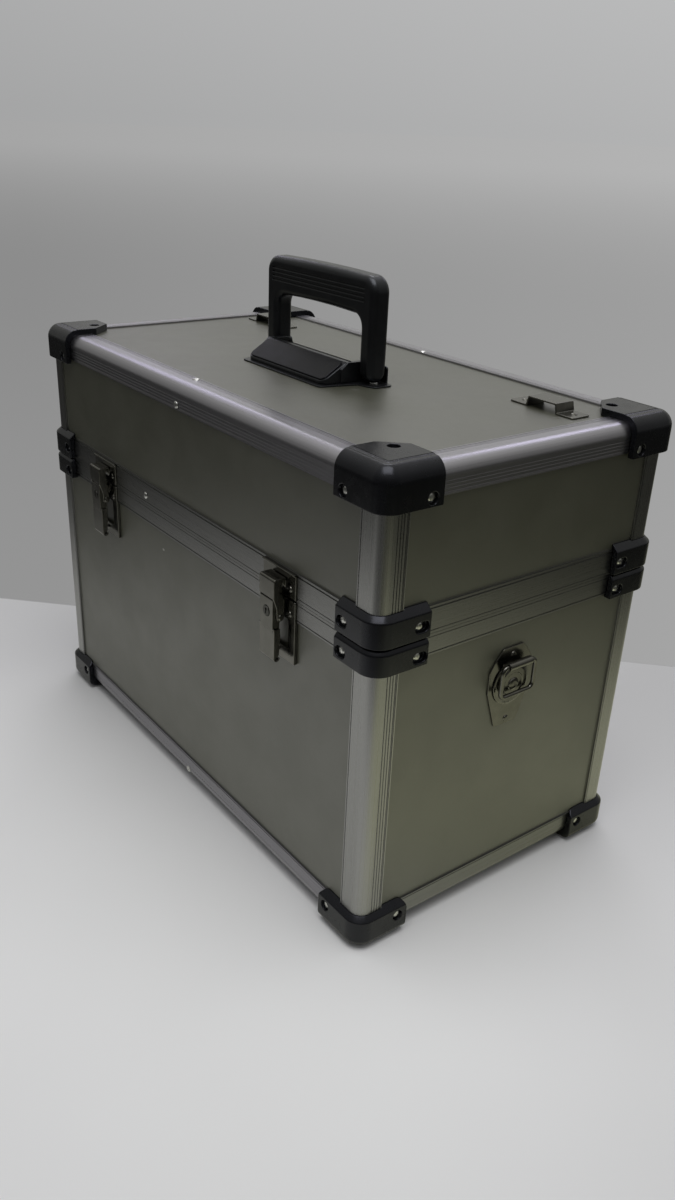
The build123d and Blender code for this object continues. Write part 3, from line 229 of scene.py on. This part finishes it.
def aluminium(name, along, base=0.42, rough=(0.27, 0.33), shade_in_gaps=0.0016, painted_cool_sheen=0.0):
    """Satin anodised aluminium with faint die lines along the bar and a slight tonal drift; any blue-violet tint is
    painted lamp sheen, and the darkening where surfaces meet is painted shade.
    """
    m, g = material(name)
    stretch = [420.0, 420.0, 420.0]
    stretch[along] = 2.0
    lines = g.noise(g.place(tuple(stretch)), 2.6, 3.0, 0.6)
    drift = g.noise(g.place(), 12.0, 3.0)
    speck = g.noise(g.place(), 2600.0, 2.0)
    # the blue-violet tint stands in for the colour of the lamps' sheen: painted reflection colour
    tone = g.mix(g.step(lines, 0.32, 0.68), rgb(base * 0.965, base * (0.965 - painted_cool_sheen * 0.3), base * (0.975 + painted_cool_sheen)),
                 rgb(base * 1.03, base * (1.03 - painted_cool_sheen * 0.3), base * (1.04 + painted_cool_sheen)))
    tone = g.mix(g.step(drift, 0.35, 0.7, 0.0, 0.10), tone, rgb(base * 0.86, base * 0.86, base * 0.85))
    # painted shade: the tone darkens where neighbouring surfaces are close
    if shade_in_gaps:
        tone = g.painted_crevice_shade(tone, shade_in_gaps, 0.10, 0.70, (base * 0.72, base * 0.72, base * 0.69))
    r = g.math("ADD", g.step(lines, 0.3, 0.7, rough[0], rough[1], "LINEAR"), g.step(speck, 0.3, 0.7, -0.02, 0.03, "LINEAR"))
    n = g.bump(lines, 0.04, 0.00010)
    s = shader(g, Base_Color=tone, Roughness=r, Metallic=1.0, Normal=n)
    g.surface(s.outputs[0])
    return m


def moulded(name, dark, light, rough=(0.30, 0.38), grain=0.10, worn=None, gloss=0.5, painted_sheen_tint=(1.0, 1.0, 1.0)):
    """Moulded plastic with a fine pebble and slightly rubbed high spots."""
    m, g = material(name)
    p = g.place()
    tone = g.mix(g.step(g.noise(p, 60.0, 4.0, 0.6), 0.3, 0.7), rgb(*dark), rgb(*light))
    if worn is not None:
        rub = g.step(g.noise(p, 210.0, 6.0, 0.7), 0.62, 0.74)
        tone = g.mix(g.math("MULTIPLY", rub, 0.35), tone, rgb(*worn))
    r = g.step(g.noise(p, 130.0, 5.0, 0.6), 0.3, 0.7, rough[0], rough[1])
    n = g.bump(g.noise(p, 1700.0, 2.0, 0.5), grain, 0.00025)
    # the reflections are tinted blue-violet: painted colour of the lamps' sheen
    s = shader(g, Base_Color=tone, Roughness=r, Normal=n, IOR=1.5, Specular_IOR_Level=gloss, Specular_Tint=rgb(*painted_sheen_tint))
    g.surface(s.outputs[0])
    return m


def plated(name, dark, light, rough=(0.20, 0.30), spots=0.25, shade_in_gaps=True):
    """Plated steel: slightly uneven film, cloudy where it has been handled."""
    m, g = material(name)
    p = g.place()
    cloud = g.noise(p, 85.0, 5.0, 0.6)
    tone = g.mix(g.step(cloud, 0.32, 0.68), rgb(*dark), rgb(*light))
    pit = g.step(g.noise(p, 520.0, 3.0, 0.7), 0.66, 0.74)
    tone = g.mix(g.math("MULTIPLY", pit, spots), tone, rgb(dark[0] * 0.5, dark[1] * 0.48, dark[2] * 0.42))
    # painted shade: the tone darkens where neighbouring surfaces are close
    if shade_in_gaps:
        tone = g.painted_crevice_shade(tone, 0.0045, 0.04, 0.36, (dark[0] * 0.36, dark[1] * 0.34, dark[2] * 0.29))
    r = g.math("ADD", g.step(cloud, 0.3, 0.7, rough[0], rough[1]), g.math("MULTIPLY", pit, 0.12))
    n = g.bump(g.noise(p, 1100.0, 2.0), 0.05, 0.0002)
    s = shader(g, Base_Color=tone, Roughness=r, Metallic=1.0, Normal=n)
    g.surface(s.outputs[0])
    return m


def rubber():
    m, g = material("foot_rubber")
    p = g.place()
    tone = g.mix(g.noise(p, 240.0, 4.0), rgb(0.012, 0.012, 0.013), rgb(0.030, 0.029, 0.028))
    n = g.bump(g.noise(p, 1300.0, 3.0), 0.3, 0.0003)
    s = shader(g, Base_Color=tone, Roughness=0.78, Normal=n)
    g.surface(s.outputs[0])
    return m


def cloth():
    """Charcoal lining cloth: a plain weave about 0.9 mm apart, with fuzz."""
    m, g = material("lining_cloth")
    p = g.place()
    o = g.xyz(p)
    k = 2.0 * math.pi / 0.0009
    ws = [g.math("ABSOLUTE", g.math("SINE", g.math("MULTIPLY", o[i], k / 2.0))) for i in range(3)]
    weave = g.math("MULTIPLY", g.math("MAXIMUM", ws[0], ws[1]), g.math("MAXIMUM", ws[1], ws[2]))
    fuzz = g.noise(p, 900.0, 4.0, 0.7)
    tone = g.mix(g.step(weave, 0.2, 1.0), rgb(0.020, 0.020, 0.021), rgb(0.050, 0.050, 0.051))
    tone = g.mix(g.step(fuzz, 0.4, 0.8, 0.0, 0.5), tone, rgb(0.075, 0.074, 0.073))
    h = g.math("ADD", weave, g.math("MULTIPLY", fuzz, 0.8))
    n = g.bump(h, 0.45, 0.0003)
    s = shader(g, Base_Color=tone, Roughness=0.9, Normal=n, Sheen_Weight=0.35, Sheen_Roughness=0.5)
    g.surface(s.outputs[0])
    return m


MAT = {
    "laminate": laminate(),
    # one anodised aluminium in several copies: the top bars lightest, the posts, bottom bars and rims darker, the top
    # and long bottom bars tinted blue-violet, as painted light, shade and sheen
    "alu_x": aluminium("aluminium_along_x", 0, painted_cool_sheen=0.07),
    "alu_y": aluminium("aluminium_along_y", 1, painted_cool_sheen=0.07),
    "alu_z": aluminium("aluminium_along_z", 2, 0.31, (0.25, 0.31), 0.0),
    "rim_x": aluminium("aluminium_rim_x", 0, 0.235, (0.26, 0.33)),
    "rim_y": aluminium("aluminium_rim_y", 1, 0.235, (0.26, 0.33)),
    "low_x": aluminium("aluminium_low_x", 0, 0.270, (0.26, 0.33), painted_cool_sheen=0.10),
    # the last colour of each plastic tints its reflections blue-violet: painted sheen
    "guard": moulded("guard_plastic", (0.0040, 0.0042, 0.0050), (0.0060, 0.0062, 0.0075), (0.22, 0.29), 0.05, (0.020, 0.020, 0.023), 0.38, (0.84, 0.86, 1.0)),
    "handle": moulded("handle_plastic", (0.0050, 0.0052, 0.0058), (0.0072, 0.0075, 0.0083), (0.27, 0.34), 0.04, (0.020, 0.020, 0.022), 0.5, (0.86, 0.90, 1.0)),
    "label": moulded("label_plate", (0.0050, 0.0050, 0.0065), (0.0068, 0.0068, 0.0085), (0.16, 0.22), 0.04, (0.014, 0.014, 0.015), 0.16, (0.86, 0.86, 1.0)),
    "rivet": plated("rivet_aluminium", (0.52, 0.52, 0.51), (0.64, 0.64, 0.63), (0.22, 0.32), 0.2, False),
    "steel": plated("nickel_steel", (0.128, 0.125, 0.114), (0.172, 0.168, 0.154), (0.18, 0.26), 0.4),
    "lock_steel": plated("lock_steel", (0.052, 0.051, 0.047), (0.078, 0.076, 0.070), (0.22, 0.30), 0.3),
    "black_steel": plated("blackened_steel", (0.020, 0.020, 0.021), (0.034, 0.034, 0.035), (0.30, 0.40), 0.2),
    "rubber": rubber(),
    "cloth": cloth(),
}

FINISH = {
    "laminate": ["lid_top_panel", "lid_front_panel", "lid_rear_panel", "lid_side_panels",
                 "bottom_panel", "front_panel", "rear_panel", "side_panels"],
    "alu_x": ["lid_top_extrusions_long"],
    "rim_x": ["lid_rim_long", "body_rim_long"],
    "low_x": ["bottom_extrusions_long"],
    "alu_y": ["lid_top_extrusions_short"],
    "rim_y": ["lid_rim_short", "bottom_extrusions_short", "body_rim_short"],
    "alu_z": ["lid_corner_posts", "body_corner_posts"],
    "guard": ["lid_corner_guards", "lid_belt_guards", "body_belt_guards", "base_corner_guards"],
    "rivet": ["lid_guard_rivets", "body_guard_rivets", "lid_frame_rivets", "body_frame_rivets"],
    "handle": ["handle", "handle_bracket", "handle_base_plate"],
    "label": ["handle_label_plate"],
    "black_steel": ["handle_pins"],
    "lock_steel": ["right_lock", "left_lock"],
    "rubber": ["feet"],
    "cloth": ["body_wall_lining", "base_pad", "lid_wall_lining", "lid_pad"],
}
finish_of = {n: k for k, names in FINISH.items() for n in names}
for name, node in NODES.items():
    mat = MAT[finish_of.get(name, "steel")]
    node.data.materials.clear()
    node.data.materials.append(mat)


# ---------------------------------------------------------------- softened edges
def soften(name, width, clamp, segments=2, angle=14.0):
    """The piece again with its sharp edges rounded, as pressed, moulded or drawn parts have them."""
    node = NODES[name]
    me = node.data.copy()
    bm = bmesh.new()
    bm.from_mesh(me)
    bmesh.ops.remove_doubles(bm, verts=bm.verts, dist=2e-6)
    bmesh.ops.dissolve_limit(bm, angle_limit=math.radians(0.6), verts=bm.verts, edges=bm.edges)
    for f in bm.faces:
        f.smooth = True
    for e in bm.edges:
        e.smooth = True
    bm.to_mesh(me)
    bm.free()
    o = bpy.data.objects.new("edged_" + name, me)
    bpy.context.scene.collection.objects.link(o)
    mod = o.modifiers.new("edges", "BEVEL")
    mod.width = width
    mod.segments = segments
    mod.limit_method = "ANGLE"
    mod.angle_limit = math.radians(angle)
    mod.use_clamp_overlap = clamp
    mod.harden_normals = False
    mod.miter_outer = "MITER_ARC"
    even = o.modifiers.new("shading", "WEIGHTED_NORMAL")
    even.mode = "FACE_AREA"
    even.weight = 80
    even.keep_sharp = True
    bpy.context.view_layer.update()
    done = bpy.data.meshes.new_from_object(o.evaluated_get(bpy.context.evaluated_depsgraph_get()))
    o.modifiers.clear()
    o.data = done
    done.materials.clear()
    done.materials.append(node.data.materials[0])
    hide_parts(name)
    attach(o, BODY_OF[name])
    return o


SOFTEN = [
    (0.00070, False, ["lid_belt_guards", "body_belt_guards"]),
    (0.00060, False, ["lid_corner_guards", "base_corner_guards"]),
    (0.00045, False, ["handle_bracket"]),
    (0.00045, False, ["latch_keepers"]),
    (0.00040, False, ["strap_staples"]),
    (0.00035, False, ["right_hook", "left_hook"]),
    (0.00030, False, ["right_lever", "left_lever"]),
    (0.00030, False, ["latch_bases", "lug_plates", "right_swivel", "left_swivel", "handle_label_plate", "handle_base_plate"]),
    (0.00022, True, ["lid_hinge_leaves", "body_hinge_leaves", "right_lock", "left_lock"]),
    (0.00028, False, ["handle"]),
    (0.00030, True, ["lid_top_extrusions_long", "lid_top_extrusions_short", "lid_rim_long", "lid_rim_short",
                     "bottom_extrusions_long", "bottom_extrusions_short", "body_rim_long", "body_rim_short"]),
]
for width, clamp, names in SOFTEN:
    for name in names:
        soften(name, width, clamp, angle=30.0 if name.endswith("_lever") else 14.0)


# ---------------------------------------------------------------- padding
def puffed(x0, x1, y0, y1, z0, z1, out, depth, cell=0.006, seed=0):
    """A cloth-covered foam slab with crowned face and pulled-in rim; out is the axis and sign its face points to."""
    lo, hi = Vector((x0, y0, z0)), Vector((x1, y1, z1))
    axis, sign = out
    a, b = [i for i in range(3) if i != axis]
    la, lb = hi[a] - lo[a], hi[b] - lo[b]
    na, nb = max(4, int(la / cell)), max(4, int(lb / cell))
    back = lo[axis] if sign > 0 else hi[axis]
    bm = bmesh.new()

    def rounding(t, length):
        d = min(t, length - t)
        r = 0.0045
        return 1.0 if d >= r else math.sqrt(max(0.0, 1.0 - (1.0 - d / r) ** 2))

    def point(i, j, face):
        u, v = la * i / na, lb * j / nb
        # rows close to the rim sit closer together
        u = la * 0.5 * (1 - math.cos(math.pi * i / na)) * 0.25 + u * 0.75
        v = lb * 0.5 * (1 - math.cos(math.pi * j / nb)) * 0.25 + v * 0.75
        k = rounding(u, la) * rounding(v, lb)
        p = Vector((0, 0, 0))
        p[a], p[b] = lo[a] + u, lo[b] + v
        h = 0.0
        if face:
            n = noise.noise(Vector((u * 16 + seed, v * 16, seed * 1.7)))
            fine = noise.noise(Vector((u * 60, v * 60 + seed, 3.1)))
            crown = math.sin(math.pi * u / la) ** 0.35 * math.sin(math.pi * v / lb) ** 0.35 if 0 < u < la and 0 < v < lb else 0.0
            h = depth * (0.30 + 0.42 * k + 0.20 * crown + 0.05 * n + 0.012 * fine)
            h = min(h, depth)
        p[axis] = back + sign * h
        return p

    grid = [[[bm.verts.new(point(i, j, f)) for j in range(nb + 1)] for i in range(na + 1)] for f in (0, 1)]
    for f in (0, 1):
        g = grid[f]
        for i in range(na):
            for j in range(nb):
                bm.faces.new((g[i][j], g[i + 1][j], g[i + 1][j + 1], g[i][j + 1]))
    rim = [(i, 0) for i in range(na)] + [(na, j) for j in range(nb)] + [(i, nb) for i in range(na, 0, -1)] + [(0, j) for j in range(nb, 0, -1)]
    for q in range(len(rim)):
        i, j = rim[q]
        k, l = rim[(q + 1) % len(rim)]
        bm.faces.new((grid[0][i][j], grid[0][k][l], grid[1][k][l], grid[1][i][j]))
    bmesh.ops.recalc_face_normals(bm, faces=bm.faces)
    for f in bm.faces:
        f.smooth = True
    return bm


def pad(name, slabs):
    """One padded piece for a CAD soft solid, from the slabs that it is sewn from."""
    whole = bmesh.new()
    for k, s in enumerate(slabs):
        bm = puffed(*s, seed=k + 1)
        tmp = bpy.data.meshes.new("slab")
        bm.to_mesh(tmp)
        bm.free()
        whole.from_mesh(tmp)
        bpy.data.meshes.remove(tmp)
    me = bpy.data.meshes.new("padded_" + name)
    whole.to_mesh(me)
    whole.free()
    me.materials.append(MAT["cloth"])
    o = bpy.data.objects.new("padded_" + name, me)
    bpy.context.scene.collection.objects.link(o)
    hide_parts(name)
    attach(o, BODY_OF[name])
    return o


def lining(name, t=0.005):
    lo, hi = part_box(name)
    e = 0.0002
    return [
        (lo.x, hi.x, lo.y, lo.y + t, lo.z, hi.z, (1, 1), t),
        (lo.x, hi.x, hi.y - t, hi.y, lo.z, hi.z, (1, -1), t),
        (lo.x, lo.x + t, lo.y + t + e, hi.y - t - e, lo.z, hi.z, (0, 1), t),
        (hi.x - t, hi.x, lo.y + t + e, hi.y - t - e, lo.z, hi.z, (0, -1), t),
    ]


for name, out in (("base_pad", (2, 1)), ("lid_pad", (2, -1))):
    lo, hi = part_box(name)
    pad(name, [(lo.x, hi.x, lo.y, hi.y, lo.z, hi.z, out, hi.z - lo.z)])
for name in ("body_wall_lining", "lid_wall_lining"):
    pad(name, lining(name))


# ---------------------------------------------------------------- stage and light
S2 = math.sqrt(0.5)


def backdrop_tone(g, ratio):
    """Brightness where the backdrop meets the far floor, rising to the right."""
    return g.step(ratio, -0.45, 0.25, 0.380, 0.462, "LINEAR")


def floor():
    bm = bmesh.new()
    for x, y in ((-40, -40), (40, -40), (40, 40), (-40, 40)):
        bm.verts.new((x, y, 0.0))
    bm.faces.new(bm.verts)
    me = bpy.data.meshes.new("floor")
    bm.to_mesh(me)
    bm.free()
    o = bpy.data.objects.new("floor", me)
    bpy.context.scene.collection.objects.link(o)
    m, g = material("floor_white")
    c = g.add("ShaderNodeTexCoord").outputs["Object"]
    u = g.vmath("DOT_PRODUCT", c, (S2, S2, 0.0))
    v = g.vmath("DOT_PRODUCT", c, (-S2, S2, 0.0))
    pale = g.step(g.noise(c, 2.2, 3.0), 0.3, 0.7, 0.80, 0.84)
    behind = g.step(v, 0.2015, 0.2055)
    # darker for every ray but the camera's, to the left and right and towards the camera: a painted dark surround
    # that the panels mirror
    side = g.math("SUBTRACT", g.math("ABSOLUTE", u), g.math("MULTIPLY", g.math("MAXIMUM", v, 0.0), 0.33))
    dark = g.math("MAXIMUM", g.step(side, 0.30, 0.78), g.step(v, -0.74, -0.42, 0.92, 0.0))
    path = g.add("ShaderNodeLightPath")
    seen = g.math("MULTIPLY", dark, g.math("SUBTRACT", 1.0, path.outputs["Is Camera Ray"]))
    # painted light and shade on the floor: darker towards the back, the nearest front and the right, and a painted
    # pool of light just in front of the case
    pale = g.math("MULTIPLY", pale, g.step(v, -0.20, 0.20, 1.0, 0.71))
    pale = g.math("MULTIPLY", pale, g.step(v, -0.45, -0.27, 0.92, 1.0))
    front = g.vmath("DISTANCE", c, (0.26, -0.16, 0.0))
    pale = g.math("MULTIPLY", pale, g.step(front, 0.0, 0.30, 1.11, 1.0))
    pale = g.math("MULTIPLY", pale, g.step(u, 0.12, 0.36, 1.0, 0.90))
    ratio = g.math("DIVIDE", g.math("SUBTRACT", u, 0.109), g.math("ADD", g.math("MAXIMUM", v, 0.0), 0.726))
    wedge = g.step(g.math("ABSOLUTE", g.math("ADD", ratio, 0.125)), 0.46, 0.80, 1.0, 0.0)
    behind = g.math("MULTIPLY", behind, g.lerp(path.outputs["Is Camera Ray"], 1.0, wedge))
    shade = g.lerp(behind, pale, 0.34)
    shade = g.math("MULTIPLY", shade, g.math("SUBTRACT", 1.0, g.math("MULTIPLY", seen, 0.95)))
    # a yellow cast, stronger to the right, for every ray but the camera's: painted warm light on the case
    tint = g.mix(g.step(u, 0.0, 0.25), rgb(1.0, 1.0, 0.93), rgb(0.99, 1.0, 0.70))
    tint = g.mix(path.outputs["Is Camera Ray"], tint, rgb(1.0, 1.0, 1.0))
    colour = g.mix(1.0, g.grey(shade), tint, "MULTIPLY")
    s = shader(g, Base_Color=colour, Roughness=0.55, Specular_IOR_Level=0.25)
    # beyond v of about 0.2 and within the view's wedge, camera rays see a glowing grey in place of the floor, rising
    # to the right and changing with distance: a painted backdrop
    far = g.math("LOGARITHM", g.math("ADD", g.math("MAXIMUM", v, 0.0), 0.726), 10.0)
    near_tone = g.step(ratio, -0.45, 0.25, 0.292, 0.372, "LINEAR")
    mid_tone = g.step(ratio, -0.45, 0.25, 0.262, 0.352, "LINEAR")
    tone = g.lerp(g.step(far, -0.05, 0.45), near_tone, mid_tone)
    tone = g.lerp(g.step(far, 0.50, 1.25), tone, backdrop_tone(g, ratio))
    e = g.add("ShaderNodeEmission", Color=g.grey(tone), Strength=1.0)
    mix = g.add("ShaderNodeMixShader")
    g.put(mix.inputs[0], g.math("MULTIPLY", behind, path.outputs["Is Camera Ray"]))
    g.put(mix.inputs[1], s.outputs[0])
    g.put(mix.inputs[2], e.outputs[0])
    g.surface(mix.outputs[0])
    me.materials.append(m)
    return o


floor()


def sky():
    w = bpy.data.worlds.new("studio")
    bpy.context.scene.world = w
    g = Tree(w)
    d = g.add("ShaderNodeTexCoord").outputs["Generated"]
    back = g.vmath("DOT_PRODUCT", d, (-S2, S2, 0.0))
    side = g.vmath("DOT_PRODUCT", d, (S2, S2, 0.0))
    up = g.xyz(d)[2]
    level = g.step(back, -0.7, 0.9, 0.07, 0.34)
    level = g.math("ADD", level, g.step(up, 0.15, 1.0, 0.0, 0.34))
    path = g.add("ShaderNodeLightPath")
    seen = path.outputs["Is Camera Ray"]
    ratio = g.math("DIVIDE", side, g.math("MAXIMUM", back, 0.05))
    tone = g.math("ADD", backdrop_tone(g, ratio), g.step(up, 0.0, 0.12, 0.0, 0.05, "LINEAR"))
    level = g.lerp(seen, level, tone)
    colour = g.mix(path.outputs["Is Glossy Ray"], rgb(0.99, 0.995, 1.0), rgb(1.0, 1.0, 0.92))
    bg = g.add("ShaderNodeBackground", Color=colour)
    g.put(bg.inputs["Strength"], level)
    out = g.add("ShaderNodeOutputWorld")
    g.t.links.new(bg.outputs[0], out.inputs["Surface"])


sky()


def softbox(name, place, aim, size, power, colour=(1.0, 1.0, 1.0)):
    d = bpy.data.lights.new(name, "AREA")
    d.shape = "RECTANGLE"
    d.size, d.size_y = size
    d.energy = power
    d.color = colour
    o = bpy.data.objects.new(name, d)
    o.location = place
    o.rotation_mode = "QUATERNION"
    o.rotation_quaternion = (Vector(aim) - Vector(place)).to_track_quat("-Z", "Y")
    o.visible_camera = False
    bpy.context.scene.collection.objects.link(o)
    return o


softbox("key", (0.30, -0.24, 1.75), (0.0, 0.0, 0.2), (1.2, 1.2), 13.6)
softbox("lamp", (-0.80, 0.67, 1.55), (0.0, 0.0, 0.3), (0.62, 0.42), 2.6, (0.95, 0.93, 1.0))
softbox("strip_side", (-0.28, 1.17, 1.30), (0.2, 0.0, 0.32), (0.55, 0.26), 1.0, (0.83, 0.79, 1.0))
softbox("strip_front", (-1.37, 0.30, 1.03), (0.0, -0.12, 0.32), (0.66, 0.22), 0.72, (0.80, 0.75, 1.0))
softbox("back", (-0.95, 1.05, 0.95), (0.0, 0.0, 0.25), (1.8, 0.8), 0.6)

bpy.context.scene.view_settings.view_transform = "Standard"
bpy.context.scene.view_settings.look = "None"
bpy.context.scene.cycles.use_denoising = True
